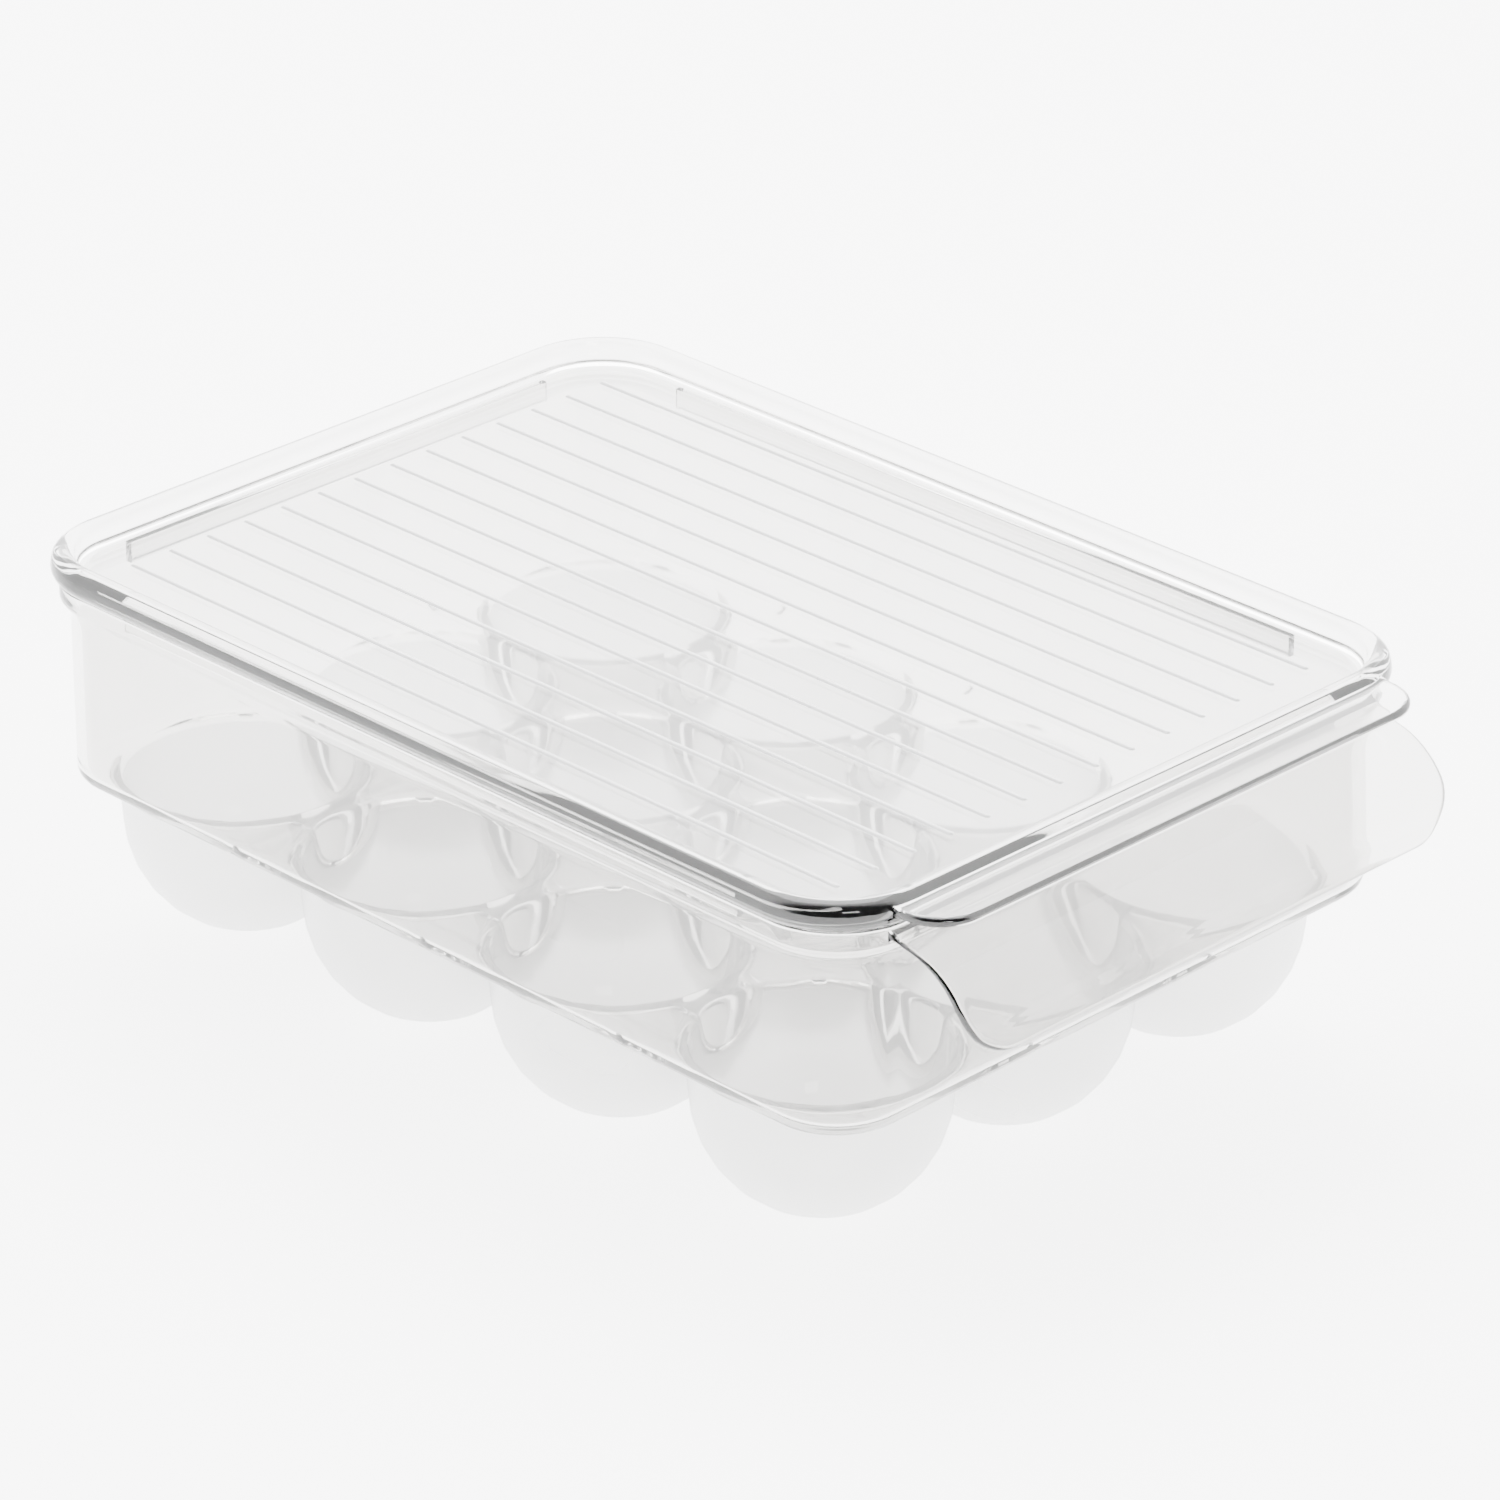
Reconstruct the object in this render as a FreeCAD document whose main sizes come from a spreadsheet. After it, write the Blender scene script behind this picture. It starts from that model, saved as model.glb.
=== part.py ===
"""Egg holder tray for a refrigerator: a clear tray with egg cups and a pull handle, and a lift-off lid.

Frame: +Z up, X across the tray, Y along it with the handle at -Y, origin on the standing plane
under the middle of the whole object's box.  The pieces are built about the tray's middle and
placed from there.  Units are millimetres.  The tray is one moulding on the real
object; here its wall, its twelve cups and its handle are solids that meet face to face.  The lid
is the second moulding, with its four locating flanges as solids of their own.
"""
import FreeCAD
import Part
import math
import os

from FreeCAD import Placement, Rotation, Vector

# ------------------------------------------------------------------ driving dimensions
SIZES = {
    # tray wall and rim
    "wall_half_width": 78.6,
    "wall_half_length": 111.8,
    "wall_corner": 15.0,
    "wall_thickness": 2.0,
    "foot_round": 1.8,
    "rim_top": 76.9,
    "rim_flare": 2.1,
    "rim_depth": 5.4,
    "rim_slope": 1.9,
    "rim_round": 0.8,
    # floor and cups
    "floor_under": 33.3,
    "floor_thickness": 1.8,
    "cup_pitch_across": 50.3,
    "cup_pitch_along": 54.4,
    "cup_row_shift": 1.3,
    "cup_radius": 25.3,
    "cup_foot_radius": 3.0,
    "cup_neck_radius": 26.1,
    "cup_thickness": 1.8,
    "mouth_bevel": 0.8,
    "web_half_width": 7.2,
    "web_depth": 11.0,
    # pull handle
    "pull_half_width": 67.4,
    "pull_thickness": 2.2,
    "pull_corner": 11.0,
    "pull_root_height": 76.3,
    "pull_root_depth": 1.5,
    "pull_flat": 6.5,
    "pull_shoulder": 18.0,
    "pull_flare": 8.0,
    # lid
    "lid_half_width": 82.8,
    "lid_half_length": 116.0,
    "lid_corner": 20.5,
    "lid_under": 77.2,
    "lid_height": 6.3,
    "bead_round": 3.0,
    "bead_width": 4.9,
    "panel_top": 79.0,
    "cove_round": 3.0,
    "crest_round": 1.4,
    "rib_pitch": 10.0,
    "rib_length": 197.4,
    "rib_width": 1.2,
    "rib_rise": 0.45,
    "lip_half_width": 68.0,
    "lip_reach": 11.5,
    "lip_thickness": 2.0,
    "lip_under": 80.0,
    "lip_corner": 10.0,
    "lip_round": 0.9,
    "flange_drop": 4.5,
    "flange_thickness": 1.6,
    "flange_clearance": 0.5,
    "side_flange_length": 172.0,
    "end_flange_length": 116.0,
    # from the middle of the tray to the middle of the whole object's box
    "middle_shift": 10.0,
}
CUPS_ACROSS = 3
CUPS_ALONG = 4
RIBS = 14
# slopes of the handle below the horizontal: where it leaves the rim, at its steepest, at its tip
PULL_START = math.radians(12)
PULL_STEEP = math.radians(78)
PULL_TIP = math.radians(48)
TOLERANCE = 1e-4
# how far a cutting solid runs past the face that it cuts
PAST = 1.0

doc = FreeCAD.newDocument("egg_holder_tray")
sheet = doc.addObject("Spreadsheet::Sheet", "sizes")
for row, (alias, value) in enumerate(SIZES.items(), start=1):
    sheet.set("A%d" % row, alias)
    sheet.set("B%d" % row, str(value))
    sheet.setAlias("B%d" % row, alias)
doc.recompute()


# ------------------------------------------------------------------ small builders
def bind(obj, **expressions):
    """Bind properties of an object to expressions on the sheet; at_x, at_y and at_z place it."""
    for name, expression in expressions.items():
        if name.startswith("at_"):
            name = "Placement.Base." + name[-1]
        for alias in sorted(SIZES, key=len, reverse=True):
            expression = expression.replace("<%s>" % alias, "sizes.%s" % alias)
        obj.setExpression(name, expression)
    return obj


def box(name, half_width, half_length, low, high):
    """Box centred on the Z axis between two heights, all given as expressions."""
    solid = doc.addObject("Part::Box", name)
    bind(solid, Length="2 * (%s)" % half_width, Width="2 * (%s)" % half_length)
    bind(solid, Height="(%s) - (%s)" % (high, low))
    bind(solid, at_x="-(%s)" % half_width, at_y="-(%s)" % half_length, at_z=low)
    return solid


def span_box(name, x_span, y_span, z_span):
    """Box between two expressions on each axis."""
    solid = doc.addObject("Part::Box", name)
    for prop, at, (low, high) in zip(("Length", "Width", "Height"), "xyz", (x_span, y_span, z_span)):
        bind(solid, **{prop: "(%s) - (%s)" % (high, low), "at_" + at: low})
    return solid


def rod(name, radius, length, axis, at):
    """Cylinder that starts at a point and runs along an axis of the frame."""
    solid = doc.addObject("Part::Cylinder", name)
    solid.Placement = Placement(Vector(), Rotation(Vector(0, 0, 1), axis))
    bind(solid, Radius=radius, Height=length, at_x=at[0], at_y=at[1], at_z=at[2])
    return solid


def join(name, parts):
    fused = doc.addObject("Part::MultiFuse", name)
    fused.Shapes = parts
    fused.Refine = True
    return fused


def overlap(name, parts):
    shared = doc.addObject("Part::MultiCommon", name)
    shared.Shapes = parts
    return shared


def cut(name, base, tool):
    rest = doc.addObject("Part::Cut", name)
    rest.Base = base
    rest.Tool = tool
    return rest


def round_edges(name, base, size, chosen, kind="Part::Fillet"):
    """Round or bevel the edges of a solid that a test picks out."""
    doc.recompute()
    picked = [i for i, edge in enumerate(base.Shape.Edges, start=1) if chosen(edge)]
    if not picked:
        raise RuntimeError("no edges to round on " + name)
    rounded = doc.addObject(kind, name)
    rounded.Base = base
    rounded.Edges = [(i, size, size) for i in picked]
    return rounded


def is_upright(edge):
    """True for a straight edge parallel to Z."""
    ends = [v.Point for v in edge.Vertexes]
    return len(ends) == 2 and (ends[0] - ends[1]).cross(Vector(0, 0, 1)).Length < TOLERANCE


def lies_at(height, half_width=None):
    """Test for an edge that lies level at a height, and reaches no further out than half_width."""
    def chosen(edge):
        size = edge.BoundBox
        level = abs(size.ZMin - height) < TOLERANCE and abs(size.ZMax - height) < TOLERANCE
        inside = half_width is None or max(size.XMax, -size.XMin) < half_width
        return level and inside
    return chosen


def slab(name, half_width, half_length, corner, low, high):
    """Upright prism with a rounded rectangular outline."""
    block = box(name + "_block", half_width, half_length, low, high)
    return round_edges(name, block, corner, is_upright)


# ------------------------------------------------------------------ tray wall
def make_tray_wall():
    """Wall of the tray with its flared rim: a ring around the floor."""
    size = SIZES
    inner_corner = size["wall_corner"] - size["wall_thickness"]
    body = slab("wall_outside", "<wall_half_width>", "<wall_half_length>", size["wall_corner"],
                "<floor_under>", "<rim_top>")
    foot = round_edges("wall_foot", body, size["foot_round"], lies_at(size["floor_under"]))
    rim = slab("rim_outside", "<wall_half_width> + <rim_flare>", "<wall_half_length> + <rim_flare>",
               size["wall_corner"] + size["rim_flare"], "<rim_top> - <rim_depth>", "<rim_top>")
    sloped = round_edges("rim_sloped", rim, size["rim_slope"],
                         lies_at(size["rim_top"] - size["rim_depth"]), "Part::Chamfer")
    rounded = round_edges("rim_rounded", sloped, size["rim_round"], lies_at(size["rim_top"]))
    well = slab("tray_well", "<wall_half_width> - <wall_thickness>", "<wall_half_length> - <wall_thickness>",
                inner_corner, "<floor_under> - %g" % PAST, "<rim_top> + %g" % PAST)
    return cut("tray_wall", join("wall_blank", [foot, rounded]), well)


# ------------------------------------------------------------------ cups
CUP_CENTRE = "sqrt(<cup_radius>^2 - <cup_foot_radius>^2)"
FLOOR_TOP = "<floor_under> + <floor_thickness>"
WEB_AXIS = "<floor_under> + <floor_thickness> - <web_depth> + <web_half_width>"


def bowl(name, x, y, shrink, top, lip_radius):
    """Round-bottomed bowl: a sphere below its middle, and a slightly flared neck above it."""
    ball = doc.addObject("Part::Sphere", name + "_ball")
    bind(ball, Radius="<cup_radius> - %s" % shrink, at_x=x, at_y=y, at_z=CUP_CENTRE)
    neck = doc.addObject("Part::Cone", name + "_neck")
    bind(neck, Radius1="<cup_radius> - %s" % shrink, Radius2=lip_radius)
    bind(neck, Height="%s - %s" % (top, CUP_CENTRE), at_x=x, at_y=y, at_z=CUP_CENTRE)
    return [ball, neck]


def web_rods(name, x, y, sides):
    """Round lower edges of the webs, from the middle of a cup towards each neighbour."""
    rods = []
    for label, axis, half_pitch in sides:
        at = (x, y, WEB_AXIS)
        rods.append(rod("%s_%s" % (name, label), "<web_half_width>", half_pitch, axis, at))
    return rods


def web_blocks(name, x, y, sides):
    """Straight upper parts of the webs, up to the floor."""
    blocks = []
    z_span = (WEB_AXIS, FLOOR_TOP)
    for label, axis, half_pitch in sides:
        x_span = web_span(x, half_pitch, axis.x)
        y_span = web_span(y, half_pitch, axis.y)
        blocks.append(span_box("%s_%s" % (name, label), x_span, y_span, z_span))
    return blocks


def web_span(centre, half_pitch, way):
    """Span of a web on one axis: out to the neighbour along it (way 1 or -1), or across it (0)."""
    if way > 0:
        return centre, "%s + %s" % (centre, half_pitch)
    if way < 0:
        return "%s - %s" % (centre, half_pitch), centre
    return centre + " - <web_half_width>", centre + " + <web_half_width>"


def make_cup(column, row, well):
    """One cup with its share of the floor, and its half of the web to each neighbour."""
    name = "egg_cup_%d_%d" % (row + 1, column + 1)
    x = "<cup_pitch_across> * %g" % (column - (CUPS_ACROSS - 1) / 2)
    y = "<cup_pitch_along> * %g + <cup_row_shift>" % (row - (CUPS_ALONG - 1) / 2)
    half_x = "<cup_pitch_across> / 2"
    half_y = "<cup_pitch_along> / 2"
    sides = [
        ("right", Vector(1, 0, 0), half_x, column < CUPS_ACROSS - 1),
        ("left", Vector(-1, 0, 0), half_x, column > 0),
        ("back", Vector(0, 1, 0), half_y, row < CUPS_ALONG - 1),
        ("front", Vector(0, -1, 0), half_y, row > 0),
    ]
    inner_sides = [side[:3] for side in sides if side[3]]
    has = {side[0]: side[3] for side in sides}
    edge_x = "<wall_half_width>"
    edge_y = "<wall_half_length>"
    x_span = ("%s - %s" % (x, half_x) if has["left"] else "-%s" % edge_x,
              "%s + %s" % (x, half_x) if has["right"] else edge_x)
    y_span = ("%s - %s" % (y, half_y) if has["front"] else "-%s" % edge_y,
              "%s + %s" % (y, half_y) if has["back"] else edge_y)
    cell = span_box(name + "_cell", x_span, y_span, ("0", FLOOR_TOP))
    tile = span_box(name + "_tile", x_span, y_span, ("<floor_under>", FLOOR_TOP))
    tile_in_wall = overlap(name + "_floor", [tile, well])
    outside = bowl(name + "_out", x, y, "0", FLOOR_TOP, "<cup_neck_radius>")
    webs = web_rods(name + "_rod", x, y, inner_sides) + web_blocks(name + "_web", x, y, inner_sides)
    shell = overlap(name + "_shell", [join(name + "_blank", [tile_in_wall] + outside + webs), cell])
    inside = bowl(name + "_in", x, y, "<cup_thickness>", FLOOR_TOP,
                  "<cup_neck_radius> - <cup_thickness>")
    mouth = doc.addObject("Part::Cone", name + "_mouth")
    neck = "<cup_neck_radius> - <cup_thickness>"
    bind(mouth, Radius1=neck, Radius2="%s + 2 * <mouth_bevel>" % neck, Height="2 * <mouth_bevel>")
    bind(mouth, at_x=x, at_y=y, at_z="%s - <mouth_bevel>" % FLOOR_TOP)
    hollow = join(name + "_hollow", inside + [mouth])
    return cut(name, shell, hollow)


# ------------------------------------------------------------------ pull handle
def pull_side(offset):
    """Points of one face of the handle's section, offset inwards: flat, shoulder arc, flare arc."""
    size = SIZES
    y = -(size["wall_half_length"] + size["rim_flare"])
    z = size["pull_root_height"]

    def step(angle, along, across):
        return Vector(0, -math.cos(angle) * along + math.sin(angle) * across,
                      -math.sin(angle) * along - math.cos(angle) * across)

    root = Vector(0, y, z) + step(PULL_START, -size["pull_root_depth"], offset)
    knee = Vector(0, y, z) + step(PULL_START, size["pull_flat"], offset)
    shoulder = size["pull_shoulder"]
    shoulder_centre = Vector(0, y, z) + step(PULL_START, size["pull_flat"], shoulder)
    steep = shoulder_centre - step(PULL_STEEP, 0, shoulder - offset)
    flare = size["pull_flare"]
    flare_centre = shoulder_centre - step(PULL_STEEP, 0, shoulder + flare)
    tip = flare_centre + step(PULL_TIP, 0, flare + offset)
    half_steep = (PULL_START + PULL_STEEP) / 2
    half_tip = (PULL_STEEP + PULL_TIP) / 2
    on_shoulder = shoulder_centre - step(half_steep, 0, shoulder - offset)
    on_flare = flare_centre + step(half_tip, 0, flare + offset)
    return root, knee, on_shoulder, steep, on_flare, tip


def pull_section():
    """Closed section of the handle in the YZ plane, from inside the rim to the tip."""
    root, knee, on_shoulder, steep, on_flare, tip = pull_side(0)
    low_root, low_knee, low_shoulder, low_steep, low_flare, low_tip = pull_side(SIZES["pull_thickness"])
    edges = [
        Part.LineSegment(root, knee).toShape(),
        Part.Arc(knee, on_shoulder, steep).toShape(),
        Part.Arc(steep, on_flare, tip).toShape(),
        Part.LineSegment(tip, low_tip).toShape(),
        Part.Arc(low_tip, low_flare, low_steep).toShape(),
        Part.Arc(low_steep, low_shoulder, low_knee).toShape(),
        Part.LineSegment(low_knee, low_root).toShape(),
        Part.LineSegment(low_root, root).toShape(),
    ]
    return Part.Face(Part.Wire(edges))


def make_pull_handle(wall):
    """Curved handle that grows out of the rim at the front, with two rounded lower corners."""
    section = doc.addObject("Part::Feature", "pull_section")
    section.Shape = pull_section()
    curved = doc.addObject("Part::Extrusion", "pull_sheet")
    curved.Base = section
    curved.Dir = Vector(1, 0, 0)
    bind(curved, LengthFwd="<pull_half_width>", LengthRev="<pull_half_width>")
    curved.Solid = True
    tip = min((point.z, point.y) for point in pull_side(SIZES["pull_thickness"]))
    blank = span_box("pull_blank", ("-<pull_half_width>", "<pull_half_width>"),
                     ("%g - <pull_corner>" % tip[1], "-<wall_half_length>"), ("%g" % tip[0], "<rim_top>"))

    def lower_corner(edge):
        size = edge.BoundBox
        return size.YLength > PAST and size.ZMax < tip[0] + TOLERANCE
    outline = round_edges("pull_outline", blank, SIZES["pull_corner"], lower_corner)
    return cut("pull_handle", overlap("pull_curved", [curved, outline]), wall)


# ------------------------------------------------------------------ lid
def make_lid():
    """Lid: a thin panel inside a thick rounded bead, fine ribs on top, and a pull lip in front."""
    size = SIZES
    top = size["lid_under"] + size["lid_height"]
    blank = slab("lid_outside", "<lid_half_width>", "<lid_half_length>", size["lid_corner"],
                 "<lid_under>", "<lid_under> + <lid_height>")
    bead = round_edges("lid_bead", blank, size["bead_round"],
                       lambda edge: lies_at(top)(edge) or lies_at(size["lid_under"])(edge))
    recess = slab("lid_recess", "<lid_half_width> - <bead_width>", "<lid_half_length> - <bead_width>",
                  size["lid_corner"] - size["bead_width"], "<panel_top>",
                  "<lid_under> + <lid_height> + %g" % PAST)
    cove = round_edges("lid_cove", recess, size["cove_round"], lies_at(size["panel_top"]))
    dished = cut("lid_dished", bead, cove)
    inner_reach = size["lid_half_width"] - size["bead_width"] + TOLERANCE
    crest = round_edges("lid_crest", dished, size["crest_round"], lies_at(top, inner_reach))
    ribs = [make_rib(number) for number in range(RIBS)]
    return join("lid", [crest, make_lip()] + ribs)


def make_lip():
    """Finger lip on the front of the lid, with two rounded corners and softened edges."""
    back = -SIZES["lid_half_length"] + SIZES["bead_round"]
    block = span_box("lip_block", ("-<lip_half_width>", "<lip_half_width>"),
                     ("-<lid_half_length> - <lip_reach>", "-<lid_half_length> + <bead_round>"),
                     ("<lip_under>", "<lip_under> + <lip_thickness>"))
    shaped = round_edges("lip_shaped", block, SIZES["lip_corner"],
                         lambda edge: is_upright(edge) and edge.BoundBox.YMax < back - PAST)
    return round_edges("lip", shaped, SIZES["lip_round"],
                       lambda edge: edge.BoundBox.ZLength < TOLERANCE and edge.BoundBox.YMin < back - PAST)


def make_rib(number):
    """One fine half-round rib along the lid, by its place across the panel."""
    radius = "(<rib_width>^2 / 4 + <rib_rise>^2) / (2 * <rib_rise>)"
    x = "<rib_pitch> * %g" % (number - (RIBS - 1) / 2)
    start = (x, "-<rib_length> / 2", "<panel_top> + <rib_rise> - %s" % radius)
    return rod("rib_%d" % (number + 1), radius, "<rib_length>", Vector(0, 1, 0), start)


def make_flanges():
    """Four straight flanges under the lid that locate it inside the tray's wall."""
    heights = ("<lid_under> - <flange_drop>", "<lid_under>")
    outer_x = "<wall_half_width> - <wall_thickness> - <flange_clearance>"
    outer_y = "<wall_half_length> - <wall_thickness> - <flange_clearance>"
    along = ("-<side_flange_length> / 2", "<side_flange_length> / 2")
    across = ("-<end_flange_length> / 2", "<end_flange_length> / 2")
    flanges = [
        span_box("flange_left", ("-(%s)" % outer_x, "-(%s) + <flange_thickness>" % outer_x), along, heights),
        span_box("flange_right", ("%s - <flange_thickness>" % outer_x, outer_x), along, heights),
        span_box("flange_front", across,
                 ("-(%s)" % outer_y, "-(%s) + <flange_thickness>" % outer_y), heights),
        span_box("flange_back", across, ("%s - <flange_thickness>" % outer_y, outer_y), heights),
    ]
    group = doc.addObject("Part::Compound", "lid_flanges")
    group.Links = flanges
    return group


# ------------------------------------------------------------------ assembly, checks and export
tray_wall = make_tray_wall()
tray_well = doc.getObject("tray_well")
cups = [make_cup(column, row, tray_well) for row in range(CUPS_ALONG) for column in range(CUPS_ACROSS)]
pull_handle = make_pull_handle(doc.getObject("wall_blank"))
lid = make_lid()
lid_flanges = make_flanges()
doc.recompute()

pieces = [tray_wall] + cups + [pull_handle, lid, lid_flanges]
for piece in pieces:
    piece.Label = piece.Name
    piece.setExpression("Placement.Base.y", "sizes.middle_shift")
doc.recompute()

for obj in doc.Objects:
    if "Invalid" in obj.State or "Error" in obj.State:
        raise RuntimeError("%s did not compute: %s" % (obj.Name, obj.State))

os.makedirs("parts", exist_ok=True)
for piece in pieces:
    shape = piece.Shape
    if shape.isNull() or not shape.isValid():
        raise RuntimeError(piece.Name + " has no valid shape")
    shape.exportStep(os.path.join("parts", piece.Label + ".step"))
    print("%-14s solids %2d  volume %9.0f mm3" % (piece.Label, len(shape.Solids), shape.Volume))
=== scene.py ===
"""Looks of the egg holder tray: one clear shell for the tray, one for the lid, a pale studio.

All shapes are built in millimetres about the middle of the tray and moved into the frame, in
metres, when a mesh is made.  The tray is one moulding, so its wall, cups and handle are a single
closed surface: two height fields (the top and the underside of the floor with its cups), joined
round the edge by the wall and its rim, with the handle growing out of the rim.
"""
import math

import bmesh
import bpy
import numpy as np
from mathutils import Matrix, Vector
from mathutils.geometry import tessellate_polygon


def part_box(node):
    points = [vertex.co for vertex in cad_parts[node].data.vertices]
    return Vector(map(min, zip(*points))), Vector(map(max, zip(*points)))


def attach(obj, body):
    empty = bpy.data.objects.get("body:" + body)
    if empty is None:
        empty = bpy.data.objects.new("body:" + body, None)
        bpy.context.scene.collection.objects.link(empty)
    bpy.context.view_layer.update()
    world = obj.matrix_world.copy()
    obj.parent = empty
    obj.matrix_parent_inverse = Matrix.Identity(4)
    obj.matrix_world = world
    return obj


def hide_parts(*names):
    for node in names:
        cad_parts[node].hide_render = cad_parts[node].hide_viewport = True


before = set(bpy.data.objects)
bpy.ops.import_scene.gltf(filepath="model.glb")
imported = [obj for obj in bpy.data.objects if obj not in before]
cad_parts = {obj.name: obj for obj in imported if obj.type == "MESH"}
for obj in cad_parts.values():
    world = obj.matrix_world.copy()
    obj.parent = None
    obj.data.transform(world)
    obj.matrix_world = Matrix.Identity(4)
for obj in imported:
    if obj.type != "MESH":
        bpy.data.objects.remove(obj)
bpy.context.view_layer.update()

MM = 0.001


def node_box(node):
    """Lowest and highest corners of a CAD node, in millimetres."""
    low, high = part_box(node)
    return np.array(low) / MM, np.array(high) / MM


WALL_LOW, WALL_HIGH = node_box("tray_wall")
LID_LOW, LID_HIGH = node_box("lid")
PULL_LOW, PULL_HIGH = node_box("pull_handle")
MIDDLE = np.array([0.0, (WALL_LOW[1] + WALL_HIGH[1]) / 2, 0.0])

# ------------------------------------------------------------------ driving sizes, mm
RIM_TOP = WALL_HIGH[2]
FLOOR_UNDER = WALL_LOW[2]
FLOOR_THICK = 1.8
FLOOR_TOP = FLOOR_UNDER + FLOOR_THICK
WALL_THICK = 2.0
RIM_FLARE = 2.1
RIM_HALF = np.array([WALL_HIGH[0], (WALL_HIGH[1] - WALL_LOW[1]) / 2])
OUTER_HALF = RIM_HALF - RIM_FLARE
INNER_HALF = OUTER_HALF - WALL_THICK
OUTER_CORNER = 15.0
INNER_CORNER = OUTER_CORNER - WALL_THICK
CUPS = (3, 4)
PITCH = np.array([50.3, 54.4])
ROW_SHIFT = 1.3
CUP_RADIUS = 25.3
CUP_THICK = 1.8
FOOT_RADIUS = 3.0
CUP_CENTRE = math.sqrt(CUP_RADIUS ** 2 - FOOT_RADIUS ** 2)
NECK_FLARE = 0.8
MOUTH_ROUND = 1.1
NECK_ROUND = 1.0
WELL_ROUND = 1.5
FOOT_ROUND = 2.5
BOWL_BLEND = 1.0
WEB_HALF = 7.2
WEB_LOW = FLOOR_TOP - 11.0
WEB_REACH = 14.0
WEB_FILLET = 2.6

# search for the height of a face: its span and number of halvings, and how far in from the wall it stays
SEARCH_LOW = -0.5
SEARCH_HIGH = FLOOR_TOP + 6.0
HALVINGS = 24
EDGE_INSET = 0.02


# ------------------------------------------------------------------ smooth distance fields
def round_union(a, b, radius):
    """Distance to the union of two regions, with the edge where they meet rounded."""
    inside = np.hypot(np.maximum(radius - a, 0), np.maximum(radius - b, 0))
    return np.maximum(radius, np.minimum(a, b)) - inside


def round_overlap(a, b, radius):
    """Distance to what two regions share, with the edge where they meet rounded."""
    outside = np.hypot(np.maximum(radius + a, 0), np.maximum(radius + b, 0))
    return np.minimum(-radius, np.maximum(a, b)) + outside


def rectangle_distance(x, y, half, corner):
    """Signed distance in plan to a rounded rectangle about the origin."""
    dx = np.abs(x) - (half[0] - corner)
    dy = np.abs(y) - (half[1] - corner)
    return np.hypot(np.maximum(dx, 0), np.maximum(dy, 0)) + np.minimum(np.maximum(dx, dy), 0) - corner


class Side:
    """One face of the floor and its cups: the top face, or the underside.

    floor is its height, half and corner its outline, edge the rounding along the wall, bowl the
    cups' radius, mouth the rounding where they meet the floor, and webs their joining webs.
    """

    def __init__(self, floor, half, corner, edge, bowl, mouth, webs):
        self.floor = floor
        self.half = half
        self.corner = corner
        self.edge = edge
        self.bowl = bowl
        self.mouth = mouth
        self.webs = webs

    def field(self, x, y, z):
        """Below zero on the upper side of the face, above zero on its lower side."""
        outline = rectangle_distance(x, y, self.half, self.corner)
        value = round_overlap(outline, self.floor - z, self.edge)
        bowls = None
        for column in range(CUPS[0]):
            for row in range(CUPS[1]):
                centre = cup_centre(column, row)
                bowl = self.bowl_distance(np.hypot(x - centre[0], y - centre[1]), z)
                bowls = bowl if bowls is None else round_union(bowls, bowl, BOWL_BLEND)
        value = round_union(value, bowls, self.mouth)
        for middle_x, middle_y, way in self.webs:
            value = round_union(value, web_distance(x - middle_x, y - middle_y, z, way), WEB_FILLET)
        return value

    def bowl_distance(self, radius, z):
        """Distance to a round-bottomed bowl with a slightly flared neck."""
        ball = np.hypot(radius, z - CUP_CENTRE) - self.bowl
        slope = NECK_FLARE / (FLOOR_TOP - CUP_CENTRE)
        neck = (radius - self.bowl - slope * (z - CUP_CENTRE)) * math.cos(math.atan(slope))
        return np.where(z > CUP_CENTRE, neck, ball)

    def height(self, x, y):
        """Height of the face above points in plan, found by halving."""
        low = np.full(x.shape, SEARCH_LOW)
        high = np.full(x.shape, SEARCH_HIGH)
        inset = 1 - EDGE_INSET / self.half
        for _ in range(HALVINGS):
            middle = (low + high) / 2
            above = self.field(x * inset[0], y * inset[1], middle) < 0
            high = np.where(above, middle, high)
            low = np.where(above, low, middle)
        return np.maximum((low + high) / 2, 0.0)


def cup_centre(column, row):
    """Place of a cup in plan."""
    return ((column - (CUPS[0] - 1) / 2) * PITCH[0], (row - (CUPS[1] - 1) / 2) * PITCH[1] + ROW_SHIFT)


def web_places():
    """Middle in plan of the web between each two neighbouring cups, and its axis: 0 for X, 1 for Y."""
    found = []
    for column in range(CUPS[0]):
        for row in range(CUPS[1]):
            x, y = cup_centre(column, row)
            if column + 1 < CUPS[0]:
                found.append((x + PITCH[0] / 2, y, 0))
            if row + 1 < CUPS[1]:
                found.append((x, y + PITCH[1] / 2, 1))
    return found


def web_distance(x, y, z, way):
    """Distance to a web that hangs under the floor: straight sides and a round lower edge."""
    along, across = (x, y) if way == 0 else (y, x)
    side = np.hypot(across, np.minimum(z - WEB_LOW - WEB_HALF, 0)) - WEB_HALF
    return np.maximum(side, np.abs(along) - WEB_REACH)


TOP_SIDE = Side(FLOOR_TOP, INNER_HALF, INNER_CORNER, WELL_ROUND, CUP_RADIUS - CUP_THICK, MOUTH_ROUND, [])
UNDERSIDE = Side(FLOOR_UNDER, OUTER_HALF, OUTER_CORNER, FOOT_ROUND, CUP_RADIUS, NECK_ROUND, web_places())


# ------------------------------------------------------------------ mesh helper
WELD = 0.003
# Kind 1 is the milky white material: the cups' real frosting, and a painted highlight on the lid's ribs.
PLAIN, FROSTED_AND_HIGHLIGHT = 0, 1
CREASE = math.radians(50)


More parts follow.
